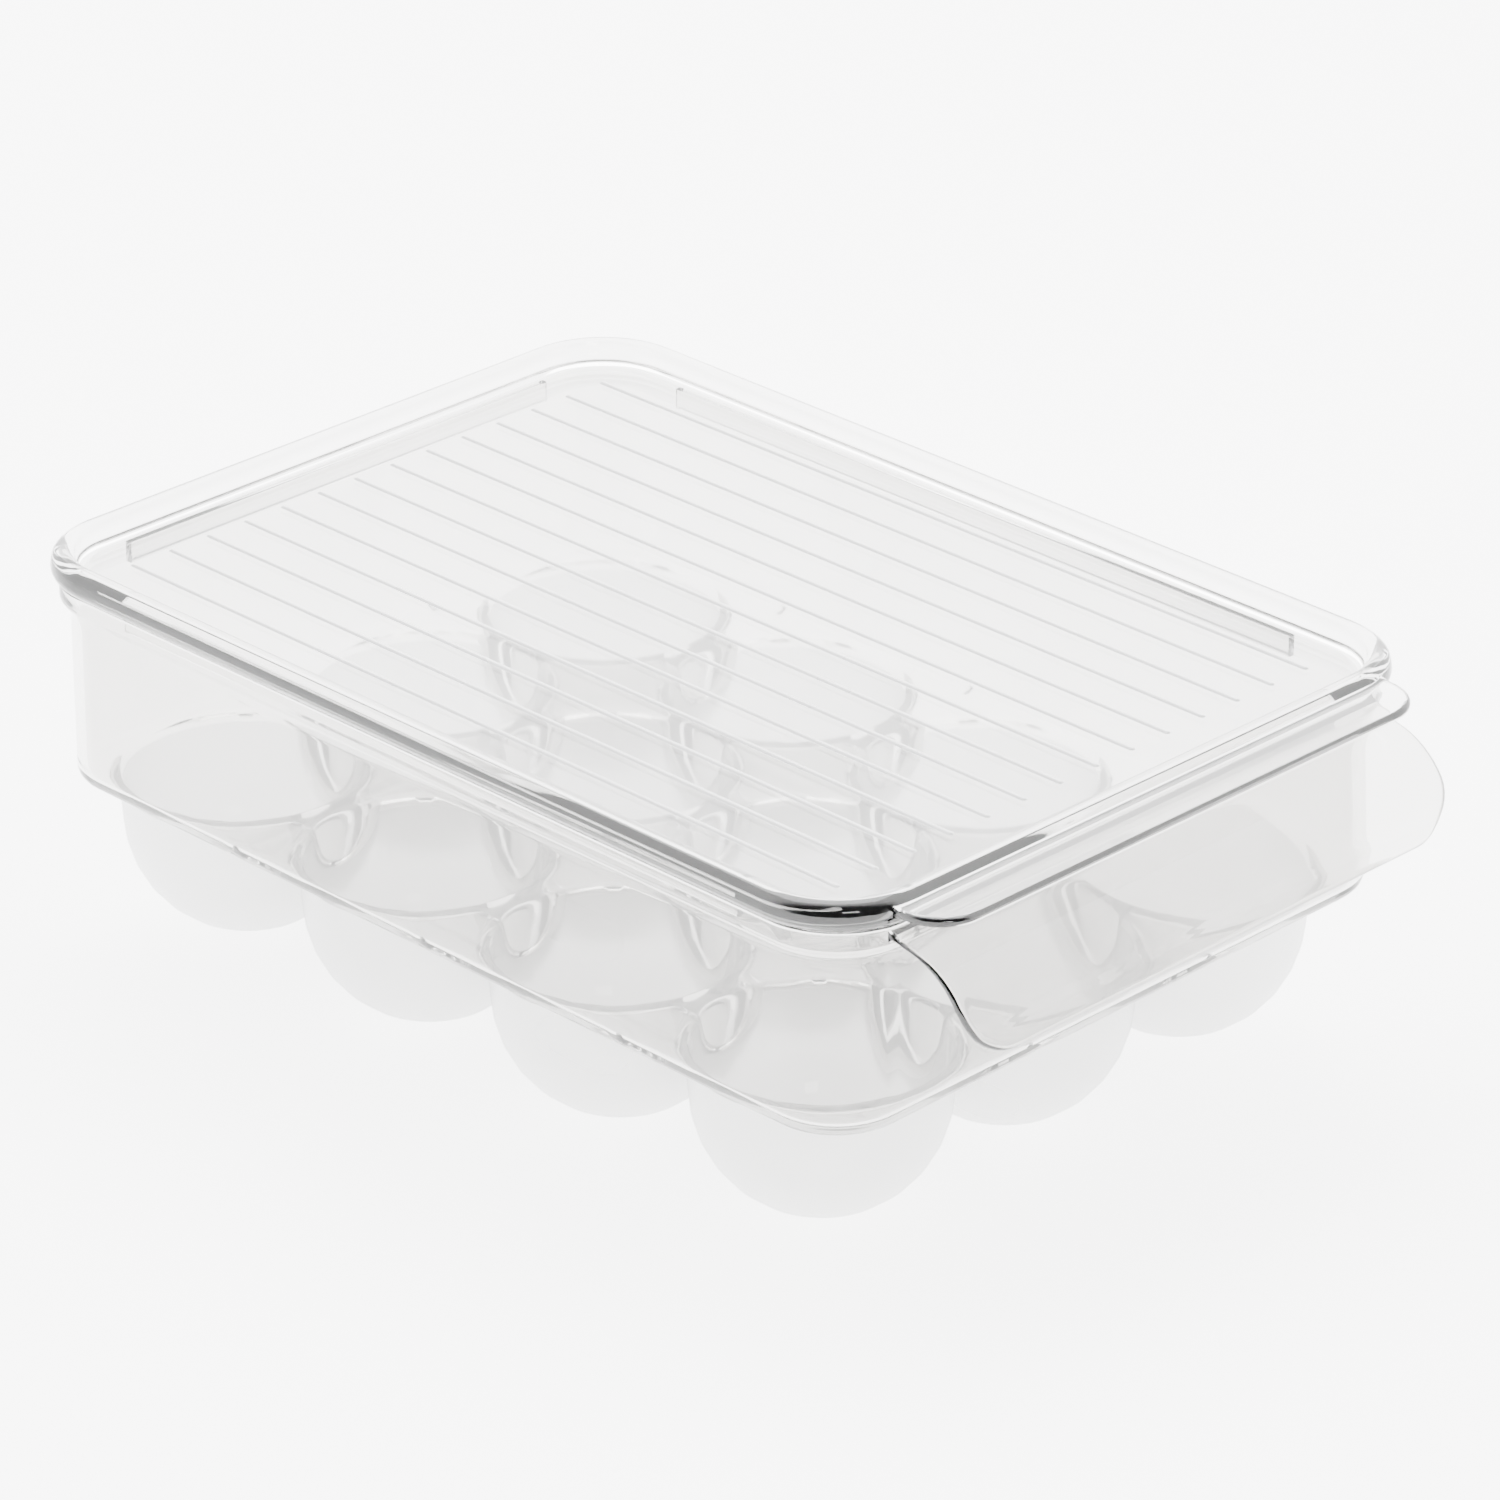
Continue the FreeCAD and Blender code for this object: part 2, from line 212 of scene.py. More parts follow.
class Skin:
    """Collects vertices and faces, and makes one mesh object of them."""

    def __init__(self):
        self.points = []
        self.faces = []
        self.kinds = []
        self.count = 0

    def add(self, points):
        """Adds vertices and returns their numbers, in the shape that they came in."""
        points = np.asarray(points, float)
        flat = points.reshape(-1, 3)
        start = self.count
        self.points.append(flat)
        self.count += len(flat)
        return np.arange(start, self.count).reshape(points.shape[:-1])

    def face(self, corners, kind=PLAIN):
        """Adds one face of a kind of material."""
        self.faces.append([int(c) for c in corners])
        self.kinds.append(kind)

    def grid(self, rows, kind=PLAIN, skip=None):
        """Quads between the numbered vertices of a grid."""
        rows = np.asarray(rows)
        for i in range(rows.shape[0] - 1):
            for j in range(rows.shape[1] - 1):
                if skip is not None and skip(i, j):
                    continue
                self.face((rows[i, j], rows[i, j + 1], rows[i + 1, j + 1], rows[i + 1, j]), kind)

    def fill(self, loops):
        """Fills a level region bounded by loops of numbered vertices: the outline, then its holes."""
        points = np.concatenate(self.points)
        flat = [int(n) for loop in loops for n in loop]
        triangles = tessellate_polygon([[Vector((*points[int(n)][:2], 0)) for n in loop] for loop in loops])
        for triangle in triangles:
            self.face([flat[n] for n in triangle])

    def make(self, name, materials):
        """Makes the object, with smooth faces and creases where the surface turns sharply."""
        mesh = bpy.data.meshes.new(name)
        points = (np.concatenate(self.points) + MIDDLE) * MM
        mesh.from_pydata(points.tolist(), [], self.faces)
        for material in materials:
            mesh.materials.append(material)
        mesh.polygons.foreach_set("material_index", self.kinds)
        work = bmesh.new()
        work.from_mesh(mesh)
        bmesh.ops.remove_doubles(work, verts=work.verts, dist=WELD * MM)
        bmesh.ops.recalc_face_normals(work, faces=work.faces)
        work.to_mesh(mesh)
        work.free()
        mesh.shade_smooth()
        mesh.set_sharp_from_angle(angle=CREASE)
        piece = bpy.data.objects.new(name, mesh)
        bpy.context.scene.collection.objects.link(piece)
        return piece


# ------------------------------------------------------------------ tray: floor and cups
SIDE_STEPS = 20
WEB_CROWD = 3.5
WEB_SPREAD = 2.2
BALL_STEPS = 8
NECK_STEPS = 4
MOUTH_STEPS = 9
NEAR_EDGE = 0.96


def side_marks(half):
    """Shares of a half side, crowded at the sides of the web to the next cup."""
    fine = np.linspace(0, half, 400)
    density = 1 + WEB_CROWD * np.exp(-((fine - WEB_HALF - WEB_FILLET / 2) / WEB_SPREAD) ** 2)
    total = np.concatenate([[0], np.cumsum((density[1:] + density[:-1]) / 2)])
    return np.interp(np.linspace(0, total[-1], SIDE_STEPS + 1), total, fine) / half


def full_side(half):
    """Marks from -1 to 1 along a whole side."""
    marks = side_marks(half)
    return np.concatenate([-marks[:0:-1], marks])


MARKS_X = full_side(PITCH[0] / 2)
MARKS_Y = full_side(PITCH[1] / 2)


def cell_walk():
    """Marks counterclockwise round a cup's cell, as shares of its half width and half length."""
    front = [(u, -1.0) for u in MARKS_X[:-1]]
    right = [(1.0, v) for v in MARKS_Y[:-1]]
    back = [(-u, 1.0) for u in MARKS_X[:-1]]
    left = [(-1.0, -v) for v in MARKS_Y[:-1]]
    return front + right + back + left


def cell_point(column, row, u, v, half, corner):
    """Plan point of a mark on the edge of a cup's cell, which ends at a rounded outline."""
    cx, cy = cup_centre(column, row)
    if u < 0:
        reach_x = cx + half[0] if column == 0 else PITCH[0] / 2
    else:
        reach_x = half[0] - cx if column == CUPS[0] - 1 else PITCH[0] / 2
    if v < 0:
        reach_y = cy + half[1] if row == 0 else PITCH[1] / 2
    else:
        reach_y = half[1] - cy if row == CUPS[1] - 1 else PITCH[1] / 2
    point = np.array([cx + u * reach_x, cy + v * reach_y])
    centre = np.sign(point) * (half - corner)
    away = point - centre
    if away[0] * centre[0] > 0 and away[1] * centre[1] > 0:
        point = centre + away * corner / math.hypot(*away)
    return point


def add_cell(skin, side, column, row, kind):
    """One cup with its share of the floor, seen from one side; kind is the cup's material."""
    centre = np.array(cup_centre(column, row))
    edge = np.array([cell_point(column, row, u, v, side.half, side.corner) for u, v in cell_walk()])
    aim = np.array([(u * PITCH[0], v * PITCH[1]) for u, v in cell_walk()])
    aim /= np.hypot(aim[:, :1], aim[:, 1:])
    neck = side.bowl + NECK_FLARE * (1 - 1 / NECK_STEPS)
    reach = np.minimum(neck, NEAR_EDGE * np.hypot(*(edge - centre).T))[:, None]
    turn = np.linspace(0, math.pi / 2, BALL_STEPS + 1)[1:]
    rings = list(side.bowl * np.sin(turn)) + list(np.linspace(side.bowl, neck, NECK_STEPS)[1:])
    layers = [centre + aim * reach * ring / neck for ring in rings]
    for step in range(1, MOUTH_STEPS + 1):
        share = (1 - math.cos(math.pi * step / MOUTH_STEPS)) / 2
        layers.append((centre + aim * reach) * (1 - share) + edge * share)
    plan = np.array(layers)
    points = np.dstack([plan, side.height(plan[..., 0], plan[..., 1])])
    rows = skin.add(points)
    rows = np.concatenate([rows, rows[:, :1]], axis=1)
    skin.grid(rows[:len(rings)], kind)
    skin.grid(rows[len(rings) - 1:])
    bottom = skin.add([[*centre, side.height(centre[:1], centre[1:])[0]]])[0]
    for first, second in zip(rows[0][:-1], rows[0][1:]):
        skin.face((bottom, first, second), kind)


# ------------------------------------------------------------------ tray: wall, rim and handle
PULL_HALF = PULL_HIGH[0]
PULL_THICK = 2.2
PULL_ROOT = RIM_TOP - 0.6 - PULL_THICK / 2
PULL_CORNER = 11.4
PULL_FLAT = 6.5
PULL_START = math.radians(12)
PULL_STEEP = math.radians(78)
PULL_TIP = math.radians(48)
PULL_SHOULDER = 18.0 - PULL_THICK / 2
PULL_FLARE = 8.0 + PULL_THICK / 2
EDGE_MARKS = (0.0, 0.15, 0.45, 0.85, 1.15)
TONGUE_STEP = 1.4
RIM_CORNER = OUTER_CORNER + RIM_FLARE
RIM_ROUND = 0.6
RIM_BEND = 1.5
RIM_DEPTH = 4.6
BEND_STEPS = 6


def perimeter():
    """Marks counterclockwise round the tray, with extra ones where the handle's sides begin."""
    last_column, last_row = CUPS[0] - 1, CUPS[1] - 1
    walk = [(c, 0, u, -1.0) for c in range(CUPS[0]) for u in MARKS_X[:-1]]
    walk += [(last_column, r, 1.0, v) for r in range(CUPS[1]) for v in MARKS_Y[:-1]]
    walk += [(c, last_row, -u, 1.0) for c in reversed(range(CUPS[0])) for u in MARKS_X[:-1]]
    walk += [(0, r, -1.0, -v) for r in reversed(range(CUPS[1])) for v in MARKS_Y[:-1]]
    straight = RIM_HALF[0] - RIM_CORNER
    for inset in EDGE_MARKS:
        turn = math.asin((PULL_HALF - inset - straight) / RIM_CORNER)
        reach = straight + RIM_CORNER * math.tan(turn)
        share = (reach - PITCH[0]) / (RIM_HALF[0] - PITCH[0])
        walk += [(0, 0, -share, -1.0), (last_column, 0, share, -1.0)]
    front = sorted((w for w in walk if w[3] == -1.0 and w[1] == 0), key=lambda w: (w[0], w[2]))
    return front + [w for w in walk if w[3] != -1.0 or w[1] != 0]


def on_cells(walk):
    """The same marks, with each extra one moved to the nearest mark of the cells."""
    moved = []
    for column, row, u, v in walk:
        if v == -1.0 and row == 0:
            u = MARKS_X[np.abs(MARKS_X - u).argmin()]
        moved.append((column, row, u, v))
    return moved


def wall_section():
    """Offsets out from the wall's inner face, and heights, from the inside over the rim to the foot."""
    rim = WALL_THICK + RIM_FLARE
    turns = np.radians([0, 22.5, 45, 67.5, 90])
    section = [(0.0, z) for z in (FLOOR_TOP + 3, 48.0, 62.0, RIM_TOP - 2, RIM_TOP - RIM_ROUND)]
    section += [(RIM_ROUND * (1 - math.cos(t)), RIM_TOP - RIM_ROUND * (1 - math.sin(t))) for t in turns[1:]]
    section += [(rim - RIM_ROUND, RIM_TOP)]
    section += [(rim - RIM_ROUND * (1 - math.cos(t)), RIM_TOP - RIM_ROUND * (1 - math.sin(t)))
                for t in turns[3:0:-1]]
    section += [(rim, PULL_ROOT + PULL_THICK / 2), (rim, PULL_ROOT - PULL_THICK / 2)]
    middle = RIM_TOP - RIM_DEPTH
    for share in np.linspace(0, 1, BEND_STEPS + 1):
        bend = (1 + math.cos(math.pi * share)) / 2
        section.append((WALL_THICK + RIM_FLARE * bend, middle + RIM_BEND * (1 - 2 * share)))
    section += [(WALL_THICK, z) for z in (RIM_TOP - 8, 58.0, 46.0, FLOOR_UNDER + 5)]
    return section


def add_wall(skin):
    """Wall and rim, open where the handle grows out of the rim.  Returns the handle's root rows."""
    walk = perimeter()
    cells = on_cells(walk)
    inner = np.array([cell_point(*w, TOP_SIDE.half, TOP_SIDE.corner) for w in cells])
    outer = np.array([cell_point(*w, UNDERSIDE.half, UNDERSIDE.corner) for w in cells])
    section = wall_section()
    layers = [np.column_stack([inner, TOP_SIDE.height(*inner.T)])]
    for offset, z in section:
        plan = np.array([cell_point(*w, INNER_HALF + offset, INNER_CORNER + offset) for w in walk])
        layers.append(np.column_stack([plan, np.full(len(plan), z)]))
    layers.append(np.column_stack([outer, UNDERSIDE.height(*outer.T)]))
    rows = skin.add(np.array(layers))
    rows = np.concatenate([rows, rows[:, :1]], axis=1)
    root = 1 + next(i for i, (o, z) in enumerate(section) if o == WALL_THICK + RIM_FLARE)
    rim = layers[root]
    inside = [j for j, w in enumerate(walk) if w[1] == 0 and w[3] == -1.0
              and abs(rim[j][0]) < PULL_HALF + WELD]
    first, last = inside[0], inside[-1]
    skin.grid(rows, skip=lambda i, j: i == root and first <= j < last)
    return rows[root, first:last + 1], rows[root + 1, first:last + 1], rim[first:last + 1, 0]


def pull_line(distance):
    """Point (y, z) and slope of the handle's middle surface at a distance from the rim's face."""
    y = -RIM_HALF[1] + math.sin(PULL_START) * PULL_THICK / 2
    z = PULL_ROOT
    slope = PULL_START
    flat = min(distance, PULL_FLAT)
    y -= math.cos(slope) * flat
    z -= math.sin(slope) * flat
    for radius, start, end in ((PULL_SHOULDER, PULL_START, PULL_STEEP), (-PULL_FLARE, PULL_STEEP, PULL_TIP)):
        distance = max(0.0, distance - flat)
        flat = min(distance, radius * (end - start))
        slope = start + flat / radius
        y -= radius * (math.sin(slope) - math.sin(start))
        z -= radius * (math.cos(start) - math.cos(slope))
    return y, z, slope


def pull_length():
    """Length of the handle's middle surface, from the rim's face to its tip."""
    bends = PULL_SHOULDER * (PULL_STEEP - PULL_START) + PULL_FLARE * (PULL_STEEP - PULL_TIP)
    return PULL_FLAT + bends


def add_tongue(skin, roots, across, half, length, corner, thick, line):
    """A sheet with round edges that grows out of an edge: the tray's handle, or the lid's lip.

    line gives (y, z, slope) of its middle surface by distance; across are the columns' places.
    """
    inner = np.arange(TONGUE_STEP, length - max(EDGE_MARKS), TONGUE_STEP)
    distances = np.concatenate([inner, length - np.array(EDGE_MARKS)[::-1]])
    upper, lower = [], []
    for distance in distances:
        y, z, slope = line(distance)
        into_corner = max(0.0, distance - (length - corner))
        width = half - corner + math.sqrt(max(0.0, corner ** 2 - into_corner ** 2))
        x = across * width / half
        qx, qs = np.abs(x) - (half - corner), np.full(len(x), distance - (length - corner))
        depth = corner - np.hypot(np.maximum(qx, 0), np.maximum(qs, 0)) - np.minimum(np.maximum(qx, qs), 0)
        round_in = np.clip(1 - np.maximum(depth, 0) / (thick / 2), 0, 1)
        rise = thick / 2 * np.sqrt(np.maximum(1 - round_in ** 2, 0))
        rise[depth < WELD] = 0
        upper.append(np.column_stack([x, y - math.sin(slope) * rise, z + math.cos(slope) * rise]))
        lower.append(np.column_stack([x, y + math.sin(slope) * rise, z - math.cos(slope) * rise]))
    top = np.concatenate([[roots[0]], skin.add(np.array(upper))])
    bottom = np.concatenate([[roots[1]], skin.add(np.array(lower))])
    skin.grid(top)
    skin.grid(bottom)
    skin.grid(np.array([top[:, 0], bottom[:, 0]]))
    skin.grid(np.array([top[:, -1], bottom[:, -1]]))


def make_tray(materials):
    """The whole tray as one closed shell."""
    skin = Skin()
    for column in range(CUPS[0]):
        for row in range(CUPS[1]):
            add_cell(skin, TOP_SIDE, column, row, PLAIN)
            add_cell(skin, UNDERSIDE, column, row, FROSTED_AND_HIGHLIGHT)
    upper, lower, across = add_wall(skin)
    add_tongue(skin, (upper, lower), across, PULL_HALF, pull_length(), PULL_CORNER, PULL_THICK, pull_line)
    return skin.make("tray_shell", materials)


# ------------------------------------------------------------------ lid
LID_HALF = np.array([LID_HIGH[0], LID_HIGH[1] - MIDDLE[1]])
LID_CORNER = 20.5
LID_UNDER = LID_LOW[2]
LID_TOP = LID_HIGH[2]
PANEL_TOP = LID_UNDER + 1.8
BEAD_ROUND = 3.0
BEAD_WIDTH = 4.9
COVE_ROUND = 3.0
CREST_ROUND = 1.4
CORNER_STEPS = 14
FRONT_STEPS = 33
COVE_TURN = 80
COVE_STEPS = 7
SUPPORT = 0.25
LIP_HALF = 68.0
LIP_THICK = 2.0
LIP_MIDDLE = PANEL_TOP + 1.0 + LIP_THICK / 2
LIP_CORNER = 10.0
LIP_LENGTH = -(LID_LOW[1] - MIDDLE[1]) - LID_HALF[1]
RIBS = 14
RIB_PITCH = 10.0
RIB_LENGTH = 197.4
RIB_HALF = 0.7
RIB_RISE = 0.3
RIB_SHARES = (1.0, 0.85, 0.6, 0.3, 0.0)
END_STEPS = 8
FLANGE_DROP = 4.5
FLANGE_THICK = 1.6
FLANGE_GAP = 0.5
FLANGE_CORNER = 0.5
FLANGE_ROUND = 0.3
FLANGE_LENGTHS = (116.0, 172.0)


def lid_loop():
    """Points and outward directions counterclockwise round the lid, from its front left corner."""
    straight = LID_HALF - LID_CORNER
    marks = []
    for number, start in enumerate((180, 270, 0, 90)):
        sign = ((-1, -1), (1, -1), (1, 1), (-1, 1))[number]
        turns = list(np.radians(np.linspace(start, start + 90, CORNER_STEPS + 1)))
        if number < 2:
            side = [math.asin((LIP_HALF - inset - straight[0]) / LID_CORNER) for inset in EDGE_MARKS]
            turns += [math.radians(270) + sign[0] * turn for turn in side]
        for turn in sorted(turns):
            out = np.array([math.cos(turn), math.sin(turn)])
            marks.append((sign * straight + LID_CORNER * out, out))
        if number == 0:
            for x in np.linspace(-straight[0], straight[0], FRONT_STEPS + 1)[1:-1]:
                marks.append((np.array([x, -LID_HALF[1]]), np.array([0.0, -1.0])))
    return marks


def lid_section():
    """Distances in from the lid's outline and heights, from the panel over the bead to its underside."""
    cove = BEAD_WIDTH + COVE_ROUND
    section = [(cove + SUPPORT, PANEL_TOP)]
    section += [(cove - COVE_ROUND * math.sin(t), PANEL_TOP + COVE_ROUND * (1 - math.cos(t)))
                for t in np.radians(np.linspace(0, COVE_TURN, COVE_STEPS + 1))]
    crest = BEAD_WIDTH - CREST_ROUND
    section += [(crest + CREST_ROUND * math.cos(t), LID_TOP - CREST_ROUND * (1 - math.sin(t)))
                for t in np.radians((10, 30, 50, 70, 90))]
    low = LIP_MIDDLE + LIP_THICK / 2
    turns = [math.asin((low - (LID_TOP - BEAD_ROUND)) / BEAD_ROUND)]
    turns += [math.radians(t) for t in (40, 55, 70, 90)]
    section += [(BEAD_ROUND * (1 - math.cos(t)), LID_TOP - BEAD_ROUND * (1 - math.sin(t)))
                for t in turns[::-1]]
    section += [(0.0, LIP_MIDDLE - LIP_THICK / 2 + 0.2)]
    section += [(BEAD_ROUND * (1 - math.cos(t)), LID_UNDER + BEAD_ROUND * (1 - math.sin(t)))
                for t in np.radians((15, 30, 45, 60, 75, 90))]
    section += [(BEAD_ROUND + SUPPORT, LID_UNDER)]
    return section


def add_bead(skin):
    """Bead round the lid, open where the lip grows out.  Returns its loops and the lip's root."""
    marks = lid_loop()
    section = lid_section()
    layers = [[(*(point - out * offset), z) for point, out in marks] for offset, z in section]
    rows = skin.add(np.array(layers))
    closed = np.concatenate([rows, rows[:, :1]], axis=1)
    root = next(i for i, (offset, z) in enumerate(section) if offset == 0.0) - 1
    edge = np.array(layers[root])
    inside = [j for j, (point, out) in enumerate(marks) if point[1] < 0 and abs(point[0]) < LIP_HALF + WELD]
    first, last = inside[0], inside[-1]
    skin.grid(closed, skip=lambda i, j: i == root and first <= j < last)
    roots = (rows[root, first:last + 1], rows[root + 1, first:last + 1])
    return rows[0], rows[-1], roots, edge[first:last + 1, 0]


def stadium(x, half_length, radius, z):
    """Loop of points round a narrow strip along Y with round ends."""
    turns = np.linspace(0, math.pi, END_STEPS + 1)
    back = [(x + radius * math.cos(t), half_length + radius * math.sin(t), z) for t in turns]
    front = [(x - radius * math.cos(t), -half_length - radius * math.sin(t), z) for t in turns]
    return back + front


def add_rib(skin, x):
    """One fine rib with round ends.  Returns the loop round it on the panel."""
    half_length = RIB_LENGTH / 2 - RIB_HALF
    curve = (RIB_HALF ** 2 + RIB_RISE ** 2) / (2 * RIB_RISE)
    layers = [stadium(x, half_length, RIB_HALF + SUPPORT / 2, PANEL_TOP)]
    for share in RIB_SHARES:
        reach = RIB_HALF * share
        z = PANEL_TOP + RIB_RISE - curve + math.sqrt(curve ** 2 - reach ** 2)
        layers.append(stadium(x, half_length, reach, z))
    rows = skin.add(np.array(layers))
    # The rib gets the milky white kind: a painted highlight for the light its crest catches.
    skin.grid(np.concatenate([rows, rows[:, :1]], axis=1), FROSTED_AND_HIGHLIGHT)
    return rows[0]


def block_loop(centre, half, corner, z):
    """Loop of points round a small rounded rectangle."""
    loop = []
    for number, sign in enumerate(((1, 1), (-1, 1), (-1, -1), (1, -1))):
        for turn in np.radians(np.linspace(90 * number, 90 * number + 90, 4)):
            x = centre[0] + sign[0] * (half[0] - corner) + corner * math.cos(turn)
            y = centre[1] + sign[1] * (half[1] - corner) + corner * math.sin(turn)
            loop.append((x, y, z))
    return loop


def add_flange(skin, centre, half):
    """One locating flange under the lid.  Returns the loop round it on the underside."""
    corner, soft = FLANGE_CORNER, FLANGE_ROUND
    wide = half + SUPPORT
    small = half - soft
    layers = [
        block_loop(centre, wide, corner + SUPPORT, LID_UNDER),
        block_loop(centre, half, corner, LID_UNDER),
        block_loop(centre, half, corner, LID_UNDER - FLANGE_DROP + soft),
        block_loop(centre, half - soft / 3, corner - soft / 3, LID_UNDER - FLANGE_DROP + soft / 3),
        block_loop(centre, small, corner - soft, LID_UNDER - FLANGE_DROP),
    ]
    rows = skin.add(np.array(layers))
    skin.grid(np.concatenate([rows, rows[:, :1]], axis=1))
    skin.face(rows[-1])
    return rows[0]


def make_lid(materials):
    """The whole lid as one closed shell."""
    skin = Skin()
    panel_loop, under_loop, roots, across = add_bead(skin)

    def lip_line(distance):
        return -LID_HALF[1] - distance, LIP_MIDDLE, 0.0
    add_tongue(skin, roots, across, LIP_HALF, LIP_LENGTH, LIP_CORNER, LIP_THICK, lip_line)
    ribs = [add_rib(skin, RIB_PITCH * (n - (RIBS - 1) / 2)) for n in range(RIBS)]
    skin.fill([panel_loop] + ribs)
    reach = INNER_HALF - FLANGE_GAP - FLANGE_THICK / 2
    flanges = []
    for sign in (-1, 1):
        side = np.array([FLANGE_THICK / 2, FLANGE_LENGTHS[1] / 2])
        flanges.append(add_flange(skin, (sign * reach[0], 0.0), side))
        end = np.array([FLANGE_LENGTHS[0] / 2, FLANGE_THICK / 2])
        flanges.append(add_flange(skin, (0.0, sign * reach[1]), end))
    skin.fill([under_loop] + flanges)
    return skin.make("lid_shell", materials)


# ------------------------------------------------------------------ materials
PLASTIC_IOR = 1.55
# The grey in these two clear colours is painted shade: it darkens the plastic's walls and edges, the tray
# more than the lid.
TRAY_CLEAR_SHADE_GREY = (0.72, 0.712, 0.70)
LID_CLEAR_SHADE_GREY = (0.88, 0.875, 0.866)
# Milky white: the real frosting of the cups, and a painted highlight where it is put on the ribs.
MILKY_AND_HIGHLIGHT = (0.97, 0.97, 0.965)
MILK_AND_HIGHLIGHT_CLARITY = 0.6
GLOSSY, FROSTY = 0.03, 0.3
MOTTLE = (0.7, 1.3)
WAVE_SCALE = 14.0
WAVE_DETAIL = 2.0
WAVE_DEPTH = 0.00003


def new_material(name):
    """A material with its nodes, its links and its main shader."""
    material = bpy.data.materials.new(name)
    material.use_nodes = True
    nodes = material.node_tree.nodes
    return material, nodes, material.node_tree.links, nodes["Principled BSDF"]


def clear_plastic(name, colour, roughness, clarity):
    """Clear moulded plastic with slow flow waves in its surface; a grey colour darkens it with painted shade,
    and less clarity makes it milky white: real frosting on the cups, a painted highlight on the ribs.
    """
    material, nodes, links, shader = new_material(name)
    shader.inputs["Base Color"].default_value = (*colour, 1)
    shader.inputs["Transmission Weight"].default_value = clarity
    shader.inputs["IOR"].default_value = PLASTIC_IOR
    place = nodes.new("ShaderNodeTexCoord")
    waves = nodes.new("ShaderNodeTexNoise")
    waves.inputs["Scale"].default_value = WAVE_SCALE
    waves.inputs["Detail"].default_value = WAVE_DETAIL
    links.new(place.outputs["Object"], waves.inputs["Vector"])
    bump = nodes.new("ShaderNodeBump")
    bump.inputs["Strength"].default_value = 1.0
    bump.inputs["Distance"].default_value = WAVE_DEPTH
    links.new(waves.outputs["Fac"], bump.inputs["Height"])
    links.new(bump.outputs["Normal"], shader.inputs["Normal"])
    mottle = nodes.new("ShaderNodeMapRange")
    mottle.inputs["To Min"].default_value = roughness * MOTTLE[0]
    mottle.inputs["To Max"].default_value = roughness * MOTTLE[1]
    links.new(waves.outputs["Fac"], mottle.inputs["Value"])
    links.new(mottle.outputs["Result"], shader.inputs["Roughness"])
    return material


# ------------------------------------------------------------------ studio and camera
LENS = 169.8
SENSOR = 36.0
VIEW_AZIMUTH = math.radians(-45.08)
VIEW_ELEVATION = math.radians(26.35)
VIEW_ROLL = math.radians(0.109)
VIEW_DISTANCE = 1392.5
VIEW_TARGET = np.array([-2.84, -13.72, PANEL_TOP - 23.62])


def make_camera():
    """Camera at the product view: from the front left, a little above."""
    data = bpy.data.cameras.new("camera")
    data.lens = LENS
    data.sensor_width = SENSOR
    data.clip_end = 10.0
    camera = bpy.data.objects.new("camera", data)
    level = math.cos(VIEW_ELEVATION)
    back = Vector((math.sin(VIEW_AZIMUTH) * level, -math.cos(VIEW_AZIMUTH) * level, math.sin(VIEW_ELEVATION)))
    right = (-back).cross(Vector((0, 0, 1))).normalized()
    right.rotate(Matrix.Rotation(VIEW_ROLL, 3, back))
    up = back.cross(right)
    turn = Matrix((right, up, back)).transposed().to_4x4()
    place = Vector((VIEW_TARGET + MIDDLE) * MM) + back * VIEW_DISTANCE * MM
    camera.matrix_world = Matrix.Translation(place) @ turn
    bpy.context.scene.collection.objects.link(camera)
    bpy.context.scene.camera = camera


def add_light(name, place, target, size, power):
    """Square soft light that points at a target; places in metres, power in watts."""
    data = bpy.data.lights.new(name, "AREA")
    data.shape = "RECTANGLE"
    data.size, data.size_y = size
    data.energy = power
    light = bpy.data.objects.new(name, data)
    away = Vector(place) - Vector(target)
    light.matrix_world = Matrix.Translation(place) @ away.to_track_quat("Z", "Y").to_matrix().to_4x4()
    bpy.context.scene.collection.objects.link(light)


FLOOR_REACH = 30.0
FLOOR_DROP = 0.0005
FLOOR_WHITE = (0.6, 0.6, 0.6)
FLOOR_GLOW = 5.0
FLOOR_ROUGHNESS = 0.8
FLOOR_GLOSS = 0.1
SURROUND = 7.5
DARK_SHARE = 0.03
DARK_TOWARDS = (-0.62, -0.62, 0.48)
DARK_FADE = (0.35, 0.75)


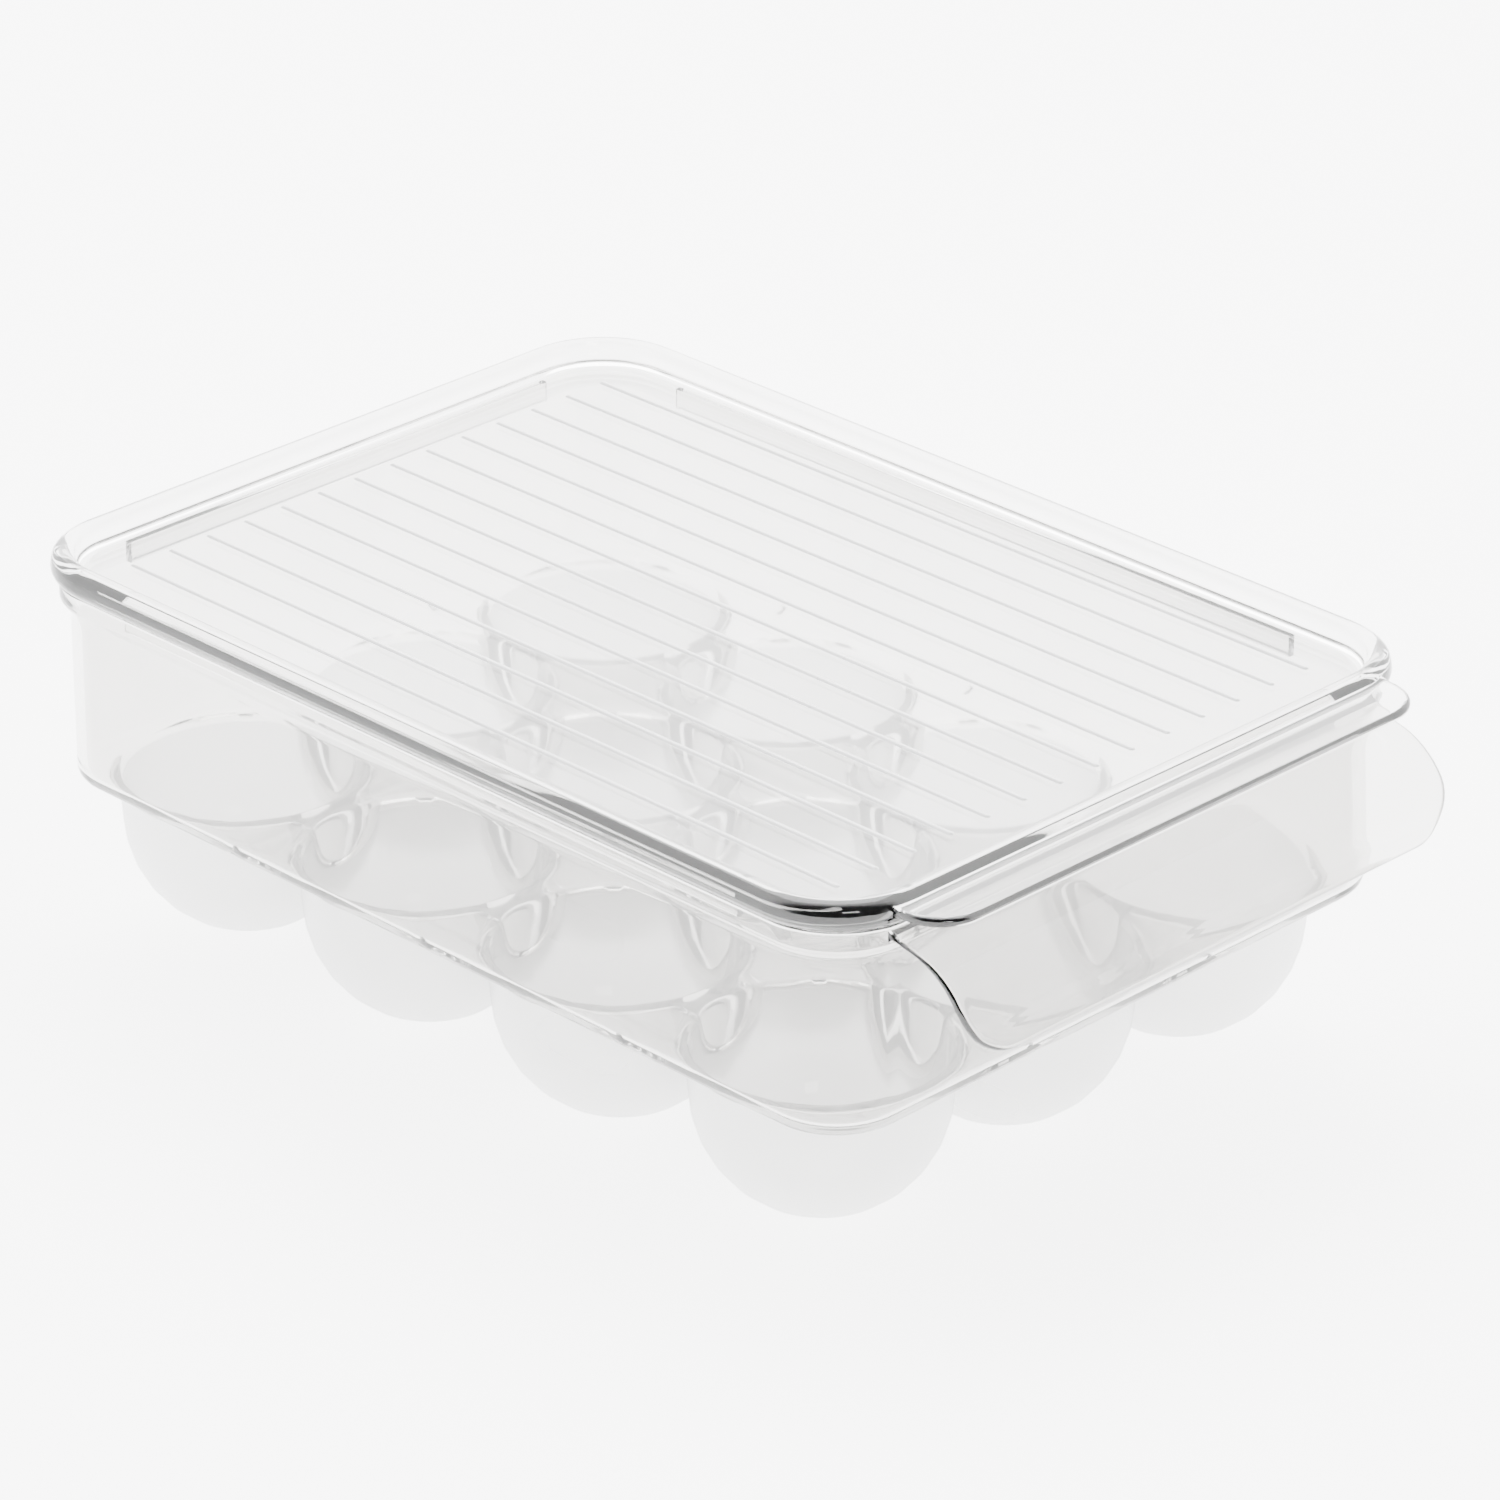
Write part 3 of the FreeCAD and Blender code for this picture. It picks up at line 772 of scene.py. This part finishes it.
def make_floor():
    """White floor, softly lit from within, that runs on past the picture."""
    reach = FLOOR_REACH
    corners = [(-reach, -reach, 0), (reach, -reach, 0), (reach, reach, 0), (-reach, reach, 0)]
    mesh = bpy.data.meshes.new("floor")
    mesh.from_pydata(corners, [], [(0, 1, 2, 3)])
    material, nodes, links, shader = new_material("floor_white")
    shader.inputs["Base Color"].default_value = (*FLOOR_WHITE, 1)
    shader.inputs["Emission Color"].default_value = (1, 1, 1, 1)
    shader.inputs["Emission Strength"].default_value = FLOOR_GLOW
    shader.inputs["Roughness"].default_value = FLOOR_ROUGHNESS
    shader.inputs["Specular IOR Level"].default_value = FLOOR_GLOSS
    mesh.materials.append(material)
    floor = bpy.data.objects.new("floor", mesh)
    floor.location.z = -FLOOR_DROP
    bpy.context.scene.collection.objects.link(floor)


def make_surround():
    """White surround with a dark patch, which draws the edges of the clear plastic."""
    world = bpy.data.worlds.new("surround")
    world.use_nodes = True
    nodes, links = world.node_tree.nodes, world.node_tree.links
    background = nodes["Background"]
    background.inputs["Strength"].default_value = SURROUND
    place = nodes.new("ShaderNodeTexCoord")
    towards = nodes.new("ShaderNodeVectorMath")
    towards.operation = "DOT_PRODUCT"
    towards.inputs[1].default_value = DARK_TOWARDS
    links.new(place.outputs["Generated"], towards.inputs[0])
    fade = nodes.new("ShaderNodeMapRange")
    fade.interpolation_type = "SMOOTHSTEP"
    fade.inputs["From Min"].default_value = DARK_FADE[0]
    fade.inputs["From Max"].default_value = DARK_FADE[1]
    fade.inputs["To Min"].default_value = 1.0
    fade.inputs["To Max"].default_value = DARK_SHARE
    links.new(towards.outputs["Value"], fade.inputs["Value"])
    links.new(fade.outputs["Result"], background.inputs["Color"])
    bpy.context.scene.world = world


make_camera()
make_floor()
make_surround()
add_light("overhead", (0.3, 0.5, 1.3), (0, 0, 0), (1.0, 1.0), 25)
add_light("front", (-0.9, -1.5, 0.9), (0, 0, 0.05), (0.5, 0.5), 14)
# The tray and lid colours darken the clear plastic with painted shade.
tray_plastic = clear_plastic("tray_clear_plastic_shade_grey", TRAY_CLEAR_SHADE_GREY, GLOSSY, 1.0)
lid_plastic = clear_plastic("lid_clear_plastic_shade_grey", LID_CLEAR_SHADE_GREY, GLOSSY, 1.0)
cup_plastic = clear_plastic("cups_frosted_plastic", MILKY_AND_HIGHLIGHT, FROSTY, MILK_AND_HIGHLIGHT_CLARITY)
# The ribs' milky white is a painted highlight.
rib_highlight_plastic = clear_plastic("ribs_painted_highlight_white", MILKY_AND_HIGHLIGHT, FROSTY, MILK_AND_HIGHLIGHT_CLARITY)
tray_shell = make_tray([tray_plastic, cup_plastic])
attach(tray_shell, "tray")
cup_nodes = ["egg_cup_%d_%d" % (row + 1, column + 1) for row in range(CUPS[1]) for column in range(CUPS[0])]
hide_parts("tray_wall", "pull_handle", *cup_nodes)
lid_shell = make_lid([lid_plastic, rib_highlight_plastic])
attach(lid_shell, "lid")
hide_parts("lid", "lid_flanges")
